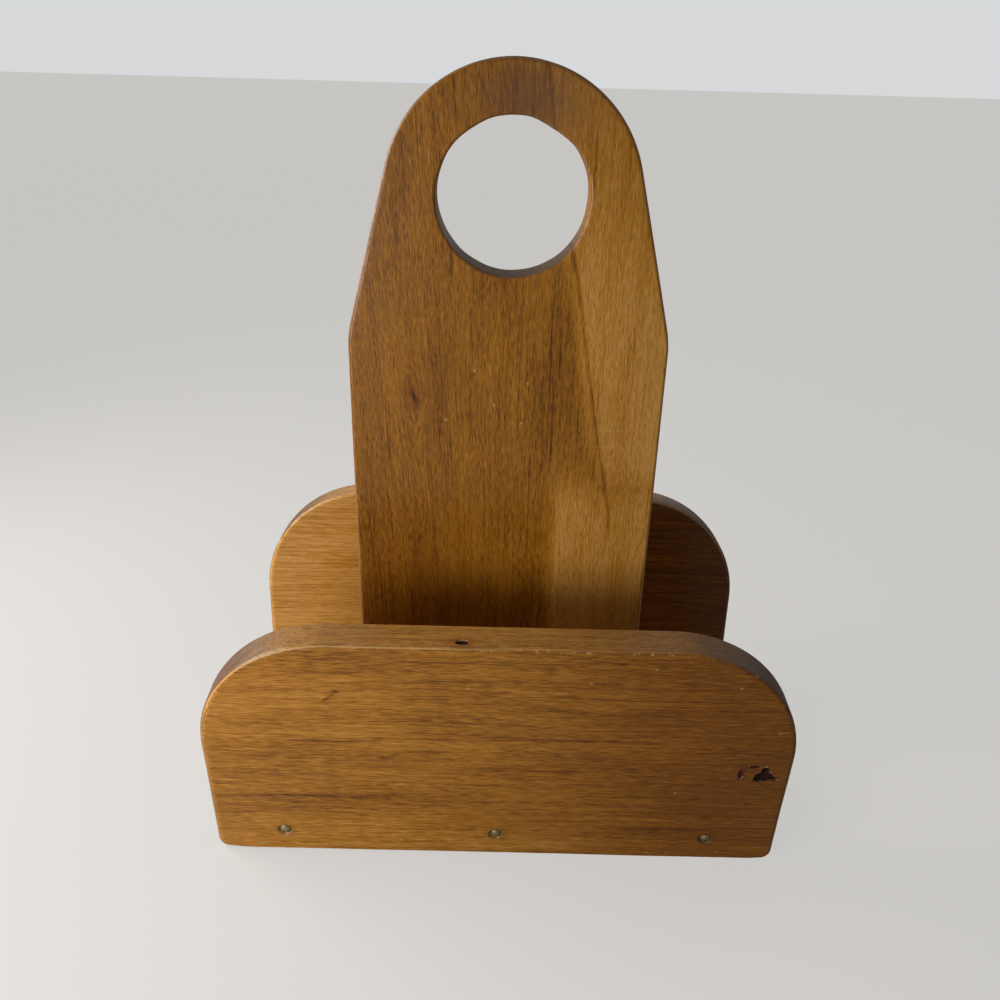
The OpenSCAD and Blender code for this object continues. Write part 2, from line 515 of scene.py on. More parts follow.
def turned(name, steps):
    """A solid round the Z axis, from a list of heights and radii."""
    (start, radius), *rest = steps
    bpy.ops.object.select_all(action="DESELECT")
    bpy.ops.mesh.primitive_circle_add(
        vertices=TURNED_SIDES, radius=radius, fill_type="NGON", location=(0, 0, start)
    )
    piece = named(name)
    with edit_mode(piece):
        for height, wide in rest:
            move = {"value": (0, 0, height - start)}
            bpy.ops.mesh.extrude_region_move(TRANSFORM_OT_translate=move)
            bpy.ops.transform.resize(value=(wide / radius, wide / radius, 1))
            start, radius = height, wide
        bpy.ops.mesh.select_all(action="SELECT")
        bpy.ops.mesh.normals_make_consistent(inside=False)
    return piece


NAIL_BOWL = [
    (-DIMPLE_DEPTH - OVERRUN, DIMPLE_D * 0.62),
    (-DIMPLE_DEPTH, DIMPLE_D * 0.57),
    (-DIMPLE_DEPTH * 0.8, DIMPLE_D * 0.5),
    (-DIMPLE_DEPTH * 0.35, DIMPLE_D * 0.42),
    (0, DIMPLE_FLOOR_D / 2),
    (NAIL_SEAT, NAIL_D / 2),
    (NAIL_L, NAIL_D / 2),
]
nail_tool = turned("nail_tool", NAIL_BOWL)
nail_tool.data.transform(Matrix.Rotation(-math.pi / 2, 4, "X"))

COUNTERSINK = [
    (-SCREW_SINK - OVERRUN, SCREW_HEAD_D / 2),
    (0, SCREW_HEAD_D / 2),
    (SCREW_HEAD_H, SCREW_D / 2),
    (SCREW_L, SCREW_D / 2),
]
screw_tool = turned("screw_tool", COUNTERSINK)
print("nail tool:", len(nail_tool.data.polygons), "faces")

# %% [markdown]
# A side panel starts as a flat rectangle of its real size. Its corners are rounded by a
# vertex bevel while it is still flat, because on a single face this gives a true arc. The
# top rims, which hands have touched the most, are eased more than the foot, and the rims of
# the two ends are the roundest.

# %% Side panel, upright
TOP_CORNER_STEPS = 32
BOTTOM_CORNER_STEPS = 8
PANEL_WAVES = (26 * MM, 0.22 * MM)
FOOT_RIM, TOP_RIM_GAIN, RIM_WAVER = 0.65, 0.35, 0.08
LEFT_END_GAIN, RIGHT_END_GAIN = 1.5, 0.9
END_FROM, END_REACH = 0.8, 0.2


def panel_rim(middle):
    """The radius of a rim, which wear has made larger at the top and towards the ends."""
    worn = FOOT_RIM + TOP_RIM_GAIN * middle.z / PANEL_H
    near_end = max(0, abs(middle.x) / (PANEL_W / 2) - END_FROM) / END_REACH
    rounded = (LEFT_END_GAIN if middle.x < 0 else RIGHT_END_GAIN) * near_end * near_end
    return (worn + rounded + RIM_WAVER * math.sin(middle.x * 90 + middle.y * 300)) * MM


def side_panel(name):
    bpy.ops.object.select_all(action="DESELECT")
    bpy.ops.mesh.primitive_plane_add(
        size=1, location=(0, -PANEL_T, FOOT + PANEL_H / 2), rotation=(math.pi / 2, 0, 0)
    )
    bpy.context.object.scale = (PANEL_W, PANEL_H, 1)
    piece = named(name)
    with edit_mode(piece):
        pick(piece, "verts", lambda vert: vert.co.z > PANEL_H / 2)
        bpy.ops.mesh.bevel(offset=PANEL_TOP_R, segments=TOP_CORNER_STEPS, affect="VERTICES")
        pick(piece, "verts", lambda vert: vert.co.z < FOOT + NEAR)
        bpy.ops.mesh.bevel(offset=PANEL_BOTTOM_R, segments=BOTTOM_CORNER_STEPS, affect="VERTICES")
    thicken(piece, PANEL_T)
    ease_rims(piece, panel_rim)
    cut_net(piece)
    move_by_hand(piece, *PANEL_WAVES)
    drill(piece, nail_tool, NAIL_PLACES)
    return piece


front_board = side_panel("front_board")
back_board = copy_of(front_board, "back_board")
print("side panel:", len(front_board.data.polygons), "faces, copied for the back")

# %% [markdown]
# A small dead knot has fallen out near the right end of the front panel and left a ragged
# hollow, with a thin crescent beside it. Each hollow is cut with a lump: an ico sphere that is
# stretched and then roughened with a fixed seed. A second, smaller knot is on the top edge.

# %% Hollows of the knots in the front panel
KNOT_HOLLOWS = {
    "main_hollow": {"place": (68.8, -9.5, 32.7), "size": (2.6, 1.8, 1.9), "seed": 4},
    "foot_hollow": {"place": (67.9, -9.5, 31.9), "size": (2.0, 1.2, 1.3), "seed": 14},
    "tip_hollow": {"place": (71.0, -9.5, 32.2), "size": (2.1, 1.1, 0.9), "seed": 5},
    "upper_hollow": {"place": (69.0, -9.5, 34.9), "size": (1.3, 1.2, 1.2), "seed": 9},
    "branch_hollow": {"place": (66.1, -9.5, 36.0), "size": (1.4, 0.9, 0.7), "seed": 12},
    "crescent": {"place": (62.8, -9.5, 33.2), "size": (0.9, 0.8, 2.0), "seed": 2},
    "top_hollow": {"place": (-9.4, -6.8, 72.7), "size": (1.9, 1.1, 0.8), "seed": 7},
}
LUMP_ROUGHNESS = 0.35 * MM


def lump(name, place, size, seed):
    bpy.ops.object.select_all(action="DESELECT")
    bpy.ops.mesh.primitive_ico_sphere_add(subdivisions=2, radius=MM)
    bpy.context.object.scale = size
    piece = named(name)
    with edit_mode(piece):
        bpy.ops.transform.vertex_random(offset=LUMP_ROUGHNESS, seed=seed)
    piece.data.transform(Matrix.Translation(Vector(place) * MM))
    return piece


for hollow_name, facts in KNOT_HOLLOWS.items():
    hollow = lump(hollow_name, **facts)
    drill(front_board, hollow, [Matrix()])
    bpy.data.objects.remove(hollow)

front_board.data.transform(LEAN_FRONT)
back_board.data.transform(LEAN_BACK)
for board in (front_board, back_board):
    smooth(board)
print("front board:", len(front_board.data.polygons), "faces")

# %% [markdown]
# The handle board is drawn as a wire: a straight foot and sides, then shoulders, then one
# round arch. The arch is spun from one end point, so that it is a true arc, and it meets the
# sloping sides without a corner. The slope follows from the two radii that the side touches.

# %% Outline of the handle board
SHOULDER_X = HANDLE_W / 2 - SHOULDER_R
REACH_UP = ARCH_Z - SHOULDER_Z
SLOPE = math.atan2(SHOULDER_X, REACH_UP)
SLOPE -= math.asin((ARCH_R - SHOULDER_R) / math.hypot(SHOULDER_X, REACH_UP))
ARCH_END_X = ARCH_R * math.cos(SLOPE)
ARCH_END_Z = ARCH_Z + ARCH_R * math.sin(SLOPE)
SHOULDER_EASE = SHOULDER_R * math.tan(SLOPE / 2)
ARCH_STEPS = 72
SHOULDER_STEPS = 6
MERGE_BELOW = EDGE_R / 100


def handle_outline(name):
    height = ARCH_END_Z - BASE_H
    bpy.ops.object.select_all(action="DESELECT")
    bpy.ops.mesh.primitive_plane_add(
        size=1, location=(0, -HANDLE_T / 2, BASE_H + height / 2), rotation=(math.pi / 2, 0, 0)
    )
    bpy.context.object.scale = (HANDLE_W, height, 1)
    piece = named(name)
    with edit_mode(piece):
        bpy.ops.mesh.delete(type="ONLY_FACE")
        pick(piece, "edges", lambda edge: abs(edge.verts[0].co.z - edge.verts[1].co.z) > height / 2)
        bpy.ops.mesh.subdivide(number_cuts=1)
        pick(piece, "verts", lambda vert: abs(vert.co.z - BASE_H - height / 2) < EDGE_R)
        lift = SHOULDER_Z + SHOULDER_EASE - BASE_H - height / 2
        bpy.ops.transform.translate(value=(0, 0, lift))
        pick(piece, "verts", lambda vert: vert.co.z > ARCH_END_Z - EDGE_R)
        bpy.ops.transform.resize(value=(2 * ARCH_END_X / HANDLE_W, 1, 1))
        bpy.ops.mesh.delete(type="EDGE")
        pick(piece, "verts", lambda vert: vert.co.z > ARCH_END_Z - EDGE_R and vert.co.x > 0)
        centre = (0, -HANDLE_T / 2, ARCH_Z)
        sweep = math.pi - 2 * SLOPE
        bpy.ops.mesh.spin(steps=ARCH_STEPS, angle=sweep, center=centre, axis=(0, 1, 0))
        bpy.ops.mesh.select_all(action="SELECT")
        bpy.ops.mesh.remove_doubles(threshold=MERGE_BELOW)
        bpy.ops.mesh.edge_face_add()
        corner_z = SHOULDER_Z + SHOULDER_EASE
        pick(piece, "verts", lambda vert: abs(vert.co.z - corner_z) < NEAR)
        bpy.ops.mesh.bevel(offset=SHOULDER_EASE, segments=SHOULDER_STEPS, affect="VERTICES")
    return piece


handle = handle_outline("handle_piece")
handle_top = max(vert.co.z for vert in handle.data.vertices)
print("outline:", len(handle.data.vertices), "points, top at", round(handle_top / MM, 2), "mm")

# %% [markdown]
# The hand hole was sawn by eye. It is nearly round, but the saw ran straight for a short way
# at the upper right, and again at the upper left. The tool for it is a disc whose rim is
# shaken and smoothed. Dissolving the points between two angles leaves a straight stretch.

# %% Hand hole
HOLE_SIDES = 96
STRAIGHT_RUNS = [(49, 71), (113, 127)]
SAW_SHAKE = 0.25 * MM


def hole_tool(name):
    bpy.ops.object.select_all(action="DESELECT")
    bpy.ops.mesh.primitive_circle_add(
        vertices=HOLE_SIDES,
        radius=HOLE_R,
        fill_type="NGON",
        location=(0, -HANDLE_T, HOLE_Z),
        rotation=(math.pi / 2, 0, 0),
    )
    piece = named(name)

    def on_straight_run(vert):
        angle = math.degrees(math.atan2(vert.co.z - HOLE_Z, vert.co.x))
        return any(low < angle < high for low, high in STRAIGHT_RUNS)

    with edit_mode(piece):
        pick(piece, "verts", on_straight_run)
        bpy.ops.mesh.dissolve_verts()
        bpy.ops.mesh.select_all(action="SELECT")
        bpy.ops.transform.vertex_random(offset=SAW_SHAKE, seed=11)
        bpy.ops.mesh.vertices_smooth(factor=0.5, repeat=3)
        bpy.ops.transform.resize(value=(1, 0, 1))
    thicken(piece, 2 * HANDLE_T)
    return piece


print("saw: straight for", len(STRAIGHT_RUNS), "short ways")

# %% [markdown]
# The rims of the handle board are eased by hand, so their radius wavers a little. The rim of
# the hand hole is sharper, and the foot, which nobody sees, is left almost as it was sawn. The
# hole is cut before the rims are eased, so that one Bevel modifier rounds its rim as well.

# %% Handle board
HANDLE_WAVES = (30 * MM, 0.2 * MM)
SAWN_RIM, HOLE_RIM = 0.3 * MM, 0.75 * MM
HANDLE_RIM, HANDLE_RIM_WAVER = 1.0, 0.12


def handle_rim(middle):
    if middle.z < BASE_H + EDGE_R:
        return SAWN_RIM
    if math.hypot(middle.x, middle.z - HOLE_Z) < HOLE_R + EDGE_R:
        return HOLE_RIM
    return (HANDLE_RIM + HANDLE_RIM_WAVER * math.sin(middle.x * 110 + middle.z * 60)) * MM


thicken(handle, HANDLE_T)
saw = hole_tool("saw")
drill(handle, saw, [Matrix()])
bpy.data.objects.remove(saw)
ease_rims(handle, handle_rim)
cut_net(handle)
move_by_hand(handle, *HANDLE_WAVES)
drill(handle, screw_tool, SCREW_PLACES)
smooth(handle)
print("handle board:", len(handle.data.polygons), "faces")

# %% [markdown]
# The base block hides between the panels. Only its two ends, its underside and the floor of
# the napkin slots can be seen. It is a sawn length of the same wood, and its long sides
# follow the lean of the panels that are nailed to it.

# %% Base block
BASE_EASE = 0.4 * MM
BASE_EASE_STEPS = 3


def base_piece(name):
    bpy.ops.object.select_all(action="DESELECT")
    bpy.ops.mesh.primitive_cube_add(size=1, location=(0, 0, BASE_H / 2))
    bpy.context.object.scale = (BASE_W, BASE_D, BASE_H)
    piece = named(name)
    wider = (BASE_D + 2 * BASE_H * math.tan(LEAN)) / BASE_D
    with edit_mode(piece):
        pick(piece, "verts", lambda vert: vert.co.z > BASE_H / 2)
        bpy.ops.transform.resize(value=(1, wider, 1))
        bpy.ops.mesh.select_all(action="SELECT")
        bpy.ops.mesh.bevel(offset=BASE_EASE, segments=BASE_EASE_STEPS, affect="EDGES")
    cut_net(piece)
    nails = [lean @ place for lean in (LEAN_FRONT, LEAN_BACK) for place in NAIL_PLACES]
    drill(piece, nail_tool, nails)
    drill(piece, screw_tool, SCREW_PLACES)
    smooth(piece)
    return piece


base = base_piece("base_piece")
for tool in (nail_tool, screw_tool):
    bpy.data.objects.remove(tool)
print("base block:", len(base.data.polygons), "faces")

# %% [markdown]
# Wood is drawn in the board's own axes, in millimetres: along the grain, across it, and
# through the board. `Board` holds those axes, and draws soft marks at places on the board,
# such as a knot or a scratch. Every mark is 1 in its middle and fades to 0 around it.

# %% Axes of a board, and marks on it
class Board(Recipe):
    """The node tree of a wooden board, in mm along the board's own axes."""

    def __init__(self, name, origin, turn, upright, seed):
        super().__init__(bpy.data.materials.new(name))
        place = self.node("ShaderNodeTexCoord", output="Object")
        facing = self.node("ShaderNodeTexCoord", output="Normal")
        settings = {"vector_type": "TEXTURE"}
        frame_of_board = {"Location": origin, "Rotation": turn, "Scale": (MM, MM, MM)}
        place = self.node("ShaderNodeMapping", settings, {"Vector": place, **frame_of_board})
        facing = self.node("ShaderNodeMapping", settings, {"Vector": facing, "Rotation": turn})
        self.x, self.y, self.z = self.numbers(place)
        face_x, self.face_y, self.face_z = self.numbers(facing)
        self.end = abs(self.face_z if upright else face_x) * abs(self.face_y).rise(0.8, 0.3)
        self.along, self.across = (self.z, self.x) if upright else (self.x, self.z)
        self.seed = seed

    def rim(self):
        """1 on the eased rims, 0 on flat faces and on the flat edges."""
        flat = abs(self.face_y)
        return (1 - flat * flat).at_least(0) ** 0.5 * flat * 2

    def bell(self, x, z, reach_x, reach_z, y=None, reach_y=1):
        """1 at a place, falling off smoothly over a reach in X, in Z and, if given, in Y."""
        off_x, off_z = (self.x - x) / reach_x, (self.z - z) / reach_z
        square = off_x * off_x + off_z * off_z
        if y is not None:
            off_y = (self.y - y) / reach_y
            square = square + off_y * off_y
        return square.fade()

    def stroke(self, start, end, width):
        """1 on a short straight mark between two places in X and Z, soft at its edges."""
        start, end = Vector(start), Vector(end)
        length = (end - start).length
        way = (end - start) / length
        off_x, off_z = self.x - start.x, self.z - start.y
        along = off_x * way.x + off_z * way.y
        beyond = along - along.at_least(0).at_most(length)
        beside = off_x * way.y - off_z * way.x
        return ((beyond * beyond + beside * beside) / (width * width)).fade()


def most_of(masks):
    """One mask out of several: at each place the largest of them counts."""
    masks = list(masks)
    total = masks.pop()
    for mask in masks:
        total = total.at_least(mask)
    return total


print("marks: rim, bell, stroke")

# %% [markdown]
# A pattern that is stretched along the grain gives streaks on the faces and dots on the end
# grain, as in real wood, because it is solid. `Grain` draws all of them, from slow figure to
# open pores. Each pattern is named with its length along the grain and its width across it,
# in millimetres. Year rings are circles round a pith that lies outside the board.

# %% Grain
SLOW_DRIFT, QUICK_DRIFT = (80, 40), (22, 14)
RING_WAVER, FIGURE, STREAK, HAIR = (60, 6), (45, 12), (38, 0.9), (26, 0.5)
PORE, PORE_PATCH = (4.5, 0.5), (9, 2.5)
THREAD_ROUGHNESS = 0.62
LATE_SHADE = 0.06


class Grain(Board):
    """The patterns of the wood, which all follow the drift of the grain."""

    def bend_round(self, x, z, reach_x, reach_z, strength):
        """Makes the grain flow round a knot at a place on the face."""
        centre = x if self.along is self.z else z
        bell = self.bell(x, z, reach_x, reach_z)
        self.across = self.across - (self.across - centre) * bell * strength

    def stretched(self, length, width, across):
        """The point to read a pattern at, so that it comes out with a length and width."""
        return self.point(self.along / length + self.seed, across / width, self.y / width)

    def drift(self, length, width):
        return self.noise(self.stretched(length, width, self.across)) - 0.5

    def threads(self, length, width, detail=3.0, roughness=0.5):
        return self.noise(self.stretched(length, width, self.flow), detail, roughness)

    def grow(self, wander, pith, ring_gap, fleck=(8, 0.5), fibre=(3.0, 0.32)):
        """Works out the patterns, from how far the grain wanders and where the pith lies."""
        drift = self.drift(*SLOW_DRIFT) * wander + self.drift(*QUICK_DRIFT) * (wander / 6)
        self.flow = self.across + drift
        pith_across, pith_depth, pith_slope = pith
        side = self.flow - pith_across - self.along * pith_slope
        deep = self.y - pith_depth
        rings = (side * side + deep * deep) ** 0.5 / ring_gap
        ring = (rings + self.threads(*RING_WAVER) * 1.4).fraction()
        self.late = ring.rise(0.25, 0.85) * ring.rise(1.0, 0.9)
        self.streaks = self.threads(*STREAK, 5.0, THREAD_ROUGHNESS)
        self.flecks = self.threads(*fleck, 4.0, THREAD_ROUGHNESS)
        self.fibres = self.threads(*fibre, 2.0)
        self.figure = self.threads(*FIGURE, 2.0)
        self.hairs = self.threads(*HAIR, 2.0).rise(0.60, 0.72)
        cells = {"Vector": self.stretched(*PORE, self.flow), "Scale": 1.0}
        pores = self.node("ShaderNodeTexVoronoi", {}, cells).rise(0.32, 0.08)
        self.pores = pores * self.threads(*PORE_PATCH).rise(0.34, 0.60)

    def tone(self, middle, streaks=0.8, flecks=0.8, fibres=1.1, figure=0.4, pores=0.2, hairs=0.25):
        """How light the wood is, from 0 to 1, with each pattern at its own strength."""
        total = (self.streaks - 0.5) * streaks + (self.flecks - 0.5) * flecks
        total = total + (self.fibres - 0.5) * fibres + (self.figure - 0.5) * figure
        return total + middle - self.late * LATE_SHADE - self.pores * pores - self.hairs * hairs

    def vein(self, x, z, reach_x, reach_z):
        """A bell whose middle line wavers with the grain, for a darker or paler streak."""
        off_x = (self.x - x) / reach_x
        off_z = (self.z - z + (self.figure - 0.5) * 3 + (self.streaks - 0.5)) / reach_z
        return (off_x * off_x + off_z * off_z).fade()


print("grain: rings, streaks, figure, fibres, pores")

# %% [markdown]
# The varnish is old and thin. It is a soft gloss over wood whose pores are still open, so the
# same patterns that colour the wood also move its surface a little in a Bump node, and make
# it rougher. What is the same all over is set on the shader's own sockets.

# %% Varnish
VARNISH = {"Specular IOR Level": 0.25, "Coat Roughness": 0.13}
VARNISH_ROUGHNESS = 0.36
COAT_WEIGHT = 0.2
SURFACE = {"Strength": 0.4, "Distance": 0.08 * MM}


class Timber(Grain):
    """A varnished board."""

    def varnish(self, colour, dull=0.0, shine=1):
        """Gloss over the wood. End grain drinks the varnish, so it stays duller."""
        thirst = self.end.rise(0.3, 0.9)
        height = self.streaks * 0.5 + self.flecks * 0.5 - self.pores * 0.9
        bump = self.node("ShaderNodeBump", {}, SURFACE | {"Height": height})
        rough = (self.streaks - 0.5) * 0.12 + self.pores * 0.12 + thirst * 0.2 + dull
        shader = {"Base Color": colour, "Roughness": rough + VARNISH_ROUGHNESS, "Normal": bump}
        shader |= {"Coat Weight": (1 - thirst * 0.8) * shine * COAT_WEIGHT}
        return self.finish(self.node("ShaderNodeBsdfPrincipled", {}, VARNISH | shader))


print("varnish roughness:", VARNISH_ROUGHNESS)

# %% [markdown]
# All the boards come from one honey-brown wood, so they share one ramp of colours, from the
# dark of a knot to the pale gold of sapwood. Heartwood is redder and darker, and has a ramp
# of its own, so that its streaks stay as clear. That darker ramp is also used for painted
# shade, where a board lies in shadow. End grain drinks more of the finish and turns
# a duller, more purple brown, in which the year rings show.

# %% Colours of the wood
HONEY = [
    (0.0, (0.080, 0.022, 0.001)),
    (0.25, (0.190, 0.066, 0.004)),
    (0.5, (0.330, 0.130, 0.008)),
    (0.75, (0.450, 0.196, 0.024)),
    (1.0, (0.580, 0.290, 0.070)),
]
# A darker, redder ramp for heartwood, also used for painted shade.
HEARTWOOD_AND_SHADE = [
    (0.0, (0.070, 0.019, 0.001)),
    (0.25, (0.128, 0.037, 0.002)),
    (0.5, (0.185, 0.057, 0.003)),
    (0.75, (0.250, 0.085, 0.006)),
    (1.0, (0.335, 0.128, 0.016)),
]
END_DARK = (0.050, 0.022, 0.014)
END_PALE = (0.125, 0.062, 0.040)
END_SHARE = 0.85


def bare_wood(timber, tone, heart_and_shade):
    """Wood without marks or wear, from its tone and its share of heartwood and painted shade."""
    colour = timber.node("ShaderNodeValToRGB", {"stops": HONEY}, {0: tone})
    if heart_and_shade:
        dark = timber.node("ShaderNodeValToRGB", {"stops": HEARTWOOD_AND_SHADE}, {0: tone})
        colour = timber.blend(heart_and_shade, colour, dark)
    ringed = (tone - timber.late * 0.3).rise(-0.1, 0.85)
    ends = timber.end.rise(0.15, 0.7) * END_SHARE
    return timber.blend(ends, colour, timber.blend(ringed, END_DARK, END_PALE))


print("wood colours:", len(HONEY), "steps from knot to sapwood")

# %% [markdown]
# Years of use have left worn rims on every board: small chips let the pale wood show through
# the varnish. A thin line along the upper lip at the left is partly such wear and partly a
# painted highlight. Pale specks on what faces up are painted sheen. Wear is kept to the
# upper parts, which hands touch.

# %% Painted sheen and highlight, and worn rims
# Pale specks on what faces up are painted sheen.
TOP_SHEEN = (0.38, 0.28, 0.14)
TOP_SHEEN_SHARE = 0.35
# Pale worn wood, also used for a painted highlight on the lip.
WORN_AND_HIGHLIT_WOOD = (0.63, 0.41, 0.16)
WORN_FROM, WORN_FULLY = 30, 50


# Painted sheen, in specks, on what faces up.
def sheen_on_tops(timber):
    specks = timber.noise(timber.point(timber.x / 1.1, timber.y / 0.5, timber.z / 0.8), 4.0, 0.65)
    return timber.face_z.rise(0.6, 0.95) * specks.rise(0.25, 0.8)


def worn_and_highlit_rims(timber):
    patches = timber.noise(timber.point(timber.x / 1.3, timber.y / 1.3, timber.z / 1.3), 3.0, 0.6)
    # The lip line is partly wear and partly a painted highlight.
    lip_wear_and_highlight = timber.rim().rise(0.9, 0.99) * timber.x.rise(5, -15) * timber.face_z.rise(0.1, 0.4)
    chips = timber.rim().rise(0.4, 0.9) * patches.rise(0.60, 0.66)
    return chips.at_least(lip_wear_and_highlight) * timber.z.rise(WORN_FROM, WORN_FULLY)


def wood_colour(timber, tone, heart_and_shade=0, wear_and_highlight_share=0.5):
    """Bare wood with painted sheen on what faces up, and worn rims with a painted highlight on the
    lip.
    """
    colour = bare_wood(timber, tone, heart_and_shade)
    colour = timber.blend(sheen_on_tops(timber) * TOP_SHEEN_SHARE, colour, TOP_SHEEN)
    return timber.blend(worn_and_highlit_rims(timber) * wear_and_highlight_share, colour, WORN_AND_HIGHLIT_WOOD)


def stained(timber, colour, stains):
    """Lays stains over a colour, one after the other, each with its share."""
    for share, stain in stains:
        colour = timber.blend(share, colour, stain)
    return colour


print("worn above", WORN_FROM, "mm")

# %% [markdown]
# The front panel is seen the closest. It has long streaks, a paler foot, a small dark scar at
# the upper left, and heartwood towards its right end. Its upper left corner is made lighter by
# painted light, and its right end is darker by heartwood and by painted shade. A streak is a
# vein that wavers with the grain, and the scar is two strokes, held to the outer face.

# %% Tone of the front panel
DARK_VEINS = [(-42, 64.7, 12, 0.5), (-42, 41.7, 8, 0.45), (-49, 21.5, 24, 0.7)]
DARK_VEINS += [(46, 11.7, 15, 1.0), (-43, 55.0, 3.5, 0.4), (20, 44, 22, 0.5)]
PALE_VEINS = [(-48, 59, 24, 1.8), (30, 5.5, 40, 1.5)]
PAINTED_CORNER_LIGHT = (-60, 56, 34, 12)
SCAR = [((-40.0, 58.3), (-40.8, 57.7), 0.6), ((-41.2, 57.2), (-43.2, 55.6), 0.35)]


def front_tone(timber, outside):
    # Painted light: the upper left corner is made lighter, where the light from the left falls
    # brightest.
    painted_corner_light = timber.bell(*PAINTED_CORNER_LIGHT) * 0.14
    pale_foot = timber.z.rise(20, 6) * 0.12
    veins = most_of(timber.vein(*place) for place in PALE_VEINS) * 0.09
    veins = veins - most_of(timber.vein(*place) for place in DARK_VEINS) * 0.28
    scar = most_of(timber.stroke(*mark) for mark in SCAR) * outside * 0.4
    tone = timber.tone(0.5, flecks=0.6, fibres=1.2)
    return tone + painted_corner_light + pale_foot + veins * outside - scar


print("veins in the front panel:", len(DARK_VEINS + PALE_VEINS))

# %% [markdown]
# The two knots are stained red all round, and their hollows are nearly black inside. Two thin
# dark arcs join the crescent to the knot. A hollow is told from the sound wood by its depth:
# a place is in it when it lies near the knot and below the board's face or top edge.

# %% Knots of the front panel
KNOT_DARK = (0.020, 0.006, 0.003)
KNOT_RED = (0.16, 0.035, 0.008)
KNOT = (68.0, 33.4, 7, 5)
KNOT_FLOW = (68.5, 33.4, 9, 4.5)
KNOT_STAIN = (69.0, 33.0, 5.5, 2.6)
CRESCENT_STAIN = (62.8, 33.0, 1.6, 2.6)
TOP_KNOT = (-9.4, 72.5, 3.0, 1.5, -6.8, 1.8)
KNOT_ARCS = [((62.9, 34.4), (64.1, 36.0), 0.45), ((62.9, 32.4), (63.5, 31.5), 0.4)]


def knot_hollows(timber):
    """1 inside the hollows that the two knots have left."""
    sunk = timber.y.rise(-9.2, -8.9) * timber.y.rise(-7.0, -7.4) * timber.x.rise(74.4, 73.9)
    sunk = sunk * timber.bell(*KNOT).rise(0.1, 0.25) * (timber.x.rise(63, 66) * 0.3 + 0.7)
    sunk_top = timber.z.rise(72.4, 72.2) * timber.bell(*TOP_KNOT).rise(0.2, 0.3)
    return sunk.at_least(sunk_top)


def knot_stains(timber, outside, hollow):
    arcs = most_of(timber.stroke(*mark) for mark in KNOT_ARCS)
    return [
        (timber.bell(*KNOT_STAIN) * 0.45, KNOT_RED),
        (timber.bell(*CRESCENT_STAIN) * outside * 0.7, KNOT_RED),
        (timber.bell(*TOP_KNOT) * 0.7, KNOT_RED),
        (arcs * outside * 0.7, KNOT_DARK),
        (hollow, KNOT_DARK),
    ]


print("knots at", KNOT[:2], "and", TOP_KNOT[:2], "in mm")

# %% [markdown]
# Both panels have grime in the dimples round their nails, and darker wood, on which the varnish
# has dulled. The front panel also has tiny pale chips in its varnish. On the back panel the
# darker wood at the right is painted shade, where the handle board casts its shadow, and it is
# darkest on the inner face, the one that is seen from the front.

# %% Wood of the two panels
GRIME = (0.045, 0.022, 0.010)
NAIL_X = [place.translation.x / MM for place in NAIL_PLACES]
NAIL_Z = NAIL_UP / MM
GRIME_REACH = (2.1, 1.7)
OUTER_FACE = (-8.6, -9.0)
# Varnish is duller on heartwood and on painted shade.
DULL_HEART_AND_SHADE = 0.75
CHIP_SIZE = (0.5, 0.32)
FRONT_CHIPS = [
    (-25.7, 5.4), (41.5, 2.6), (47, 2.8), (60.4, 3.5), (37.3, 67.8), (46.7, 26.1), (58.5, 62.5),
    (-8, 60.5), (22, 63), (70.5, 48), (68.9, 36.3), (70.4, 34.2),
]


def nail_grime(timber):
    return [(timber.bell(x, NAIL_Z, *GRIME_REACH) * 0.85, GRIME) for x in NAIL_X]


def front_wood():
    timber = Timber("front_wood", LEAN_FRONT.translation, (LEAN, 0, 0), upright=False, seed=3.1)
    timber.bend_round(*KNOT_FLOW, 0.75)
    timber.grow(5.0, (30, 55, 0.03), ring_gap=3.4, fleck=(11, 0.45), fibre=(3.4, 0.28))
    outside = timber.y.rise(*OUTER_FACE)
    # Heartwood at the right end, deepened as painted shade where the light falls off to the right.
    heart_and_shade = timber.x.rise(-15, 60) * 0.8
    hollow = knot_hollows(timber)
    chips = most_of(timber.bell(*place, *CHIP_SIZE) for place in FRONT_CHIPS).rise(0.3, 0.8)
    colour = wood_colour(timber, front_tone(timber, outside), heart_and_shade)
    colour = stained(timber, colour, knot_stains(timber, outside, hollow))
    colour = stained(timber, colour, [(chips * outside * 0.5, WORN_AND_HIGHLIT_WOOD)] + nail_grime(timber))
    shine = (1 - hollow) * (1 - heart_and_shade * DULL_HEART_AND_SHADE)
    return timber.varnish(colour, dull=hollow * 0.5, shine=shine)


def back_wood():
    timber = Timber(
        "back_wood", LEAN_BACK.translation, (LEAN, 0, math.pi), upright=False, seed=17.7
    )
    timber.grow(4.0, (20, 70, -0.02), ring_gap=3.0, fleck=(12, 0.55), fibre=(3.6, 0.30))
    # Painted shade: the right of the back panel lies in the handle board's shadow, darkest on the
    # inner face.
    heart_and_shade = timber.x.rise(0, -45) * (timber.y.rise(-8, -2) * 0.65 + 0.25)
    tone = timber.tone(0.86, streaks=1.1, fibres=0.8) - heart_and_shade * 0.6
    colour = stained(timber, wood_colour(timber, tone, heart_and_shade), nail_grime(timber))
    return timber.varnish(colour, shine=1 - heart_and_shade * DULL_HEART_AND_SHADE)


front_board.data.materials.append(front_wood())
back_board.data.materials.append(back_wood())
print("panels varnished")

# %% [markdown]
# On the handle board the grain stands upright. A band of paler sapwood runs up its right
# side behind a thin dark line. The band's left edge slants in the upper part and is upright
# in the lower part, so it is drawn as two bands that fade into each other.

# %% Tone of the handle board
DARK_BLOTCH = (8, 120, 5, 12)
PALE_PATCH = (-13, 145, 9, 12)
PALE_STREAK = (9, 150, 3.5, 24)


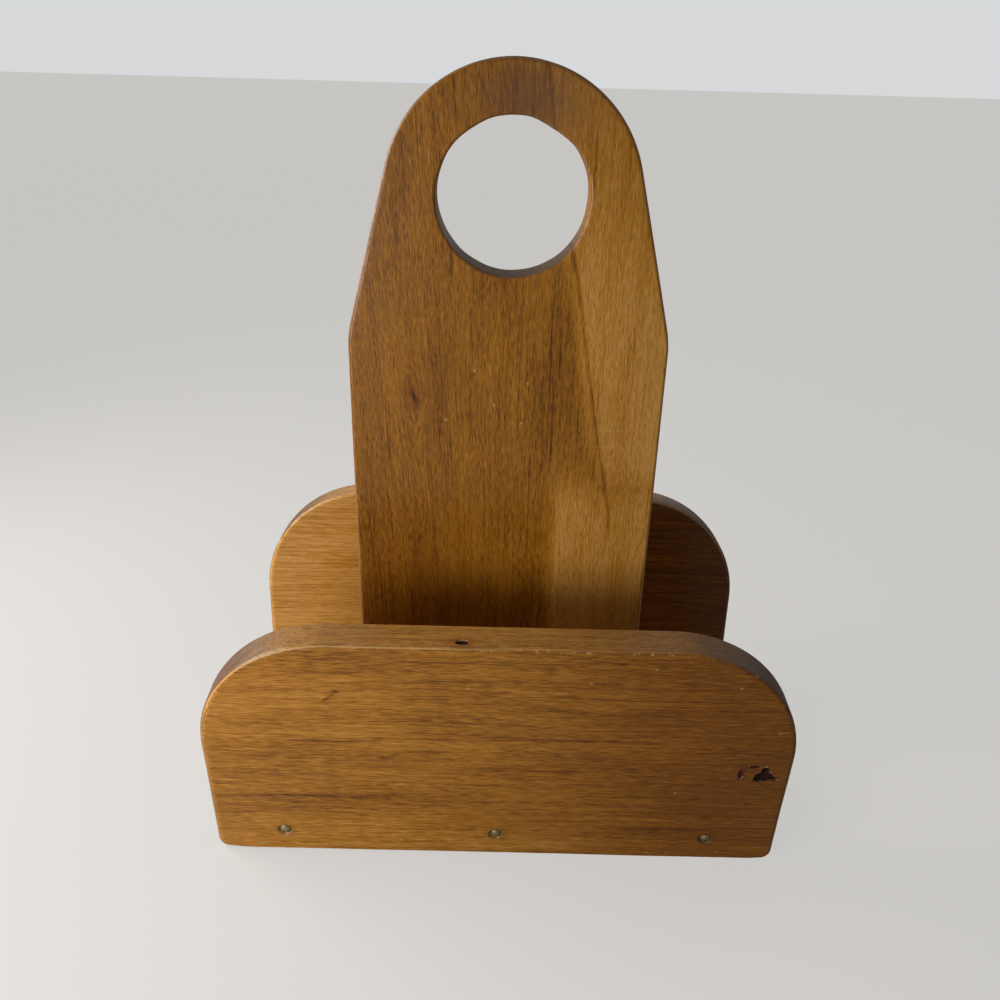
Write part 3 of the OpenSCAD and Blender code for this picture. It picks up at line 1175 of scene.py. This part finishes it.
def sapwood_band(timber):
    """The pale band, and the dark line along its left edge."""
    shift = (timber.threads(60, 30) - 0.5) * 6
    line = timber.x + shift - 15 + (timber.z - 154) * 0.19
    upper = line.rise(-4.5, 1.0) * timber.z.rise(85, 105)
    lower = (timber.x + shift - 12.5).rise(-1.5, 2.5) * timber.z.rise(105, 85)
    return upper.at_least(lower), (line * line * 4).fade() * timber.z.rise(70, 95)


def handle_tone(timber):
    pale, dark_line = sapwood_band(timber)
    pale_share = timber.z.rise(180, 140) * 0.25 + 0.19
    tone = timber.tone(0.47, streaks=0.4, flecks=0.45, fibres=1.0, figure=0.35, pores=0.28)
    tone = tone + pale * pale_share - dark_line * 0.36 - timber.bell(*DARK_BLOTCH) * 0.05
    # Painted shade: the left side is a little darker, against the light from the left.
    tone = tone - timber.x.rise(2, -24) * 0.055
    return tone + timber.bell(*PALE_PATCH) * 0.06 + timber.bell(*PALE_STREAK) * 0.1


print("handle board: sapwood at the right")

# %% [markdown]
# A slanting pin knot lies at the left of the handle board, and a purple-brown cloud covers the
# top of the arch. Painted shade darkens the wood towards the foot, in the shadow of the front
# panel, and a little on the rims. The varnish has a few pale specks and two faint scratches.
# The base block has no marks of its own, and little varnish.

# %% Wood of the handle board and the base
PURPLE_BROWN = (0.150, 0.072, 0.042)
ARCH_CLOUD = (4.4, 189, 12, 8)
PIN_KNOT = (-23.6, 119.5)
SPECK_SIZE = (0.35, 0.45)
HANDLE_SPECKS = [(-8.3, 126.8), (5.1, 123.7), (-3.3, 117.7), (3.7, 113), (-15.5, 113.5)]
HANDLE_SCRATCHES = [((24, 111.6), (29.5, 111.8), 0.3), ((21.5, 107.2), (31, 106.8), 0.22)]


def pin_knot(timber):
    knot_x, knot_z = PIN_KNOT
    slant = timber.x - knot_x + (timber.z - knot_z) * 0.3
    rise = (timber.z - knot_z) / 2.4
    return (slant * slant * 2.4 + rise * rise).fade()


def specks_and_scratches(timber):
    specks = most_of(timber.bell(*place, *SPECK_SIZE) for place in HANDLE_SPECKS).rise(0.3, 0.8)
    scratches = most_of(timber.stroke(*mark) for mark in HANDLE_SCRATCHES) * 0.3
    return specks.at_least(scratches) * timber.y.rise(-3, -4)


def handle_wood():
    timber = Timber("handle_wood", (0, 0, 0), (0, 0, 0), upright=True, seed=8.4)
    timber.across = timber.across + (timber.z - 125) * timber.x.rise(2, -28) * 0.06
    timber.bend_round(*PIN_KNOT, 4, 12, 0.7)
    timber.grow(4.0, (-4, 46, 0.05), ring_gap=3.2, fleck=(7, 0.42), fibre=(2.2, 0.25))
    # Painted shade: darker towards the foot, in the front panel's shadow, and a little on the rims.
    foot = timber.z.rise(105, 35) * (timber.x.rise(16, 6) * 0.42 + timber.x.rise(0, -25) * 0.45)
    heart_and_shade = foot.at_least(timber.rim() * 0.4)
    colour = wood_colour(timber, handle_tone(timber), heart_and_shade, wear_and_highlight_share=0.12)
    stains = [
        (timber.bell(*ARCH_CLOUD) * 0.6, PURPLE_BROWN),
        (timber.bell(*PIN_KNOT, 3.2, 5.5) * 0.45, KNOT_RED),
        (pin_knot(timber) * 0.85, KNOT_DARK),
        (specks_and_scratches(timber) * 0.6, WORN_AND_HIGHLIT_WOOD),
    ]
    return timber.varnish(stained(timber, colour, stains), shine=0.6)


def base_wood():
    timber = Timber("base_wood", (0, 0, 0), (0, 0, 0), upright=False, seed=29.3)
    timber.grow(4.0, (4, -40, 0.0), ring_gap=3.0)
    return timber.varnish(wood_colour(timber, timber.tone(0.42)), dull=0.2)


handle.data.materials.append(handle_wood())
base.data.materials.append(base_wood())
print("handle board and base varnished")

# %% [markdown]
# The nails and screws keep the frame's own shapes, which are right, and get a worn steel. Its
# tarnish is a soft brown noise, and its roughness follows it.

# %% Steel of the nails and screws
BRIGHT_STEEL = (0.43, 0.335, 0.165)
TARNISH = (0.105, 0.064, 0.030)
SCRATCH_DEPTH = 0.03 * MM


def steel(name, tarnish):
    recipe = Recipe(bpy.data.materials.new(name))
    place = recipe.node("ShaderNodeTexCoord", output="Object")
    x, y, z = (number / MM for number in recipe.numbers(place))
    stain = recipe.noise(recipe.point(x, y, z), 4.0, 0.6).rise(0.35, 0.7) * tarnish
    colour = recipe.blend(stain, BRIGHT_STEEL, TARNISH)
    scratches = recipe.noise(recipe.point(x * 9, y * 9, z * 2), 3.0)
    bump = {"Strength": 0.2, "Distance": SCRATCH_DEPTH, "Height": scratches}
    shader = {"Base Color": colour, "Metallic": 0.9, "Roughness": stain * 0.25 + 0.3}
    shader |= {"Normal": recipe.node("ShaderNodeBump", {}, bump)}
    return recipe.finish(recipe.node("ShaderNodeBsdfPrincipled", {}, shader))


nail_steel, screw_steel = steel("nail_steel", 0.9), steel("screw_steel", 0.5)
metal_slots = {}
for node_name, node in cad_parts.items():
    if "nail" in node_name or "screw" in node_name:
        finish = nail_steel if "nail" in node_name else screw_steel
        node.data.materials.clear()
        node.data.materials.append(finish)
        metal_slots[node_name] = finish.name
print("metal pieces:", len(metal_slots))

# %% [markdown]
# Last, every new piece is handed over: it rides on the one body, and it stands for the frame's
# plain board, which is hidden.

# %% Hand over
for piece, node_name, slot in (
    (front_board, "front_panel", "panel_wood"),
    (back_board, "back_panel", "panel_wood"),
    (handle, "handle_board", "handle_wood"),
    (base, "base_block", "base_wood"),
):
    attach(piece, BODY)
    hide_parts(node_name)
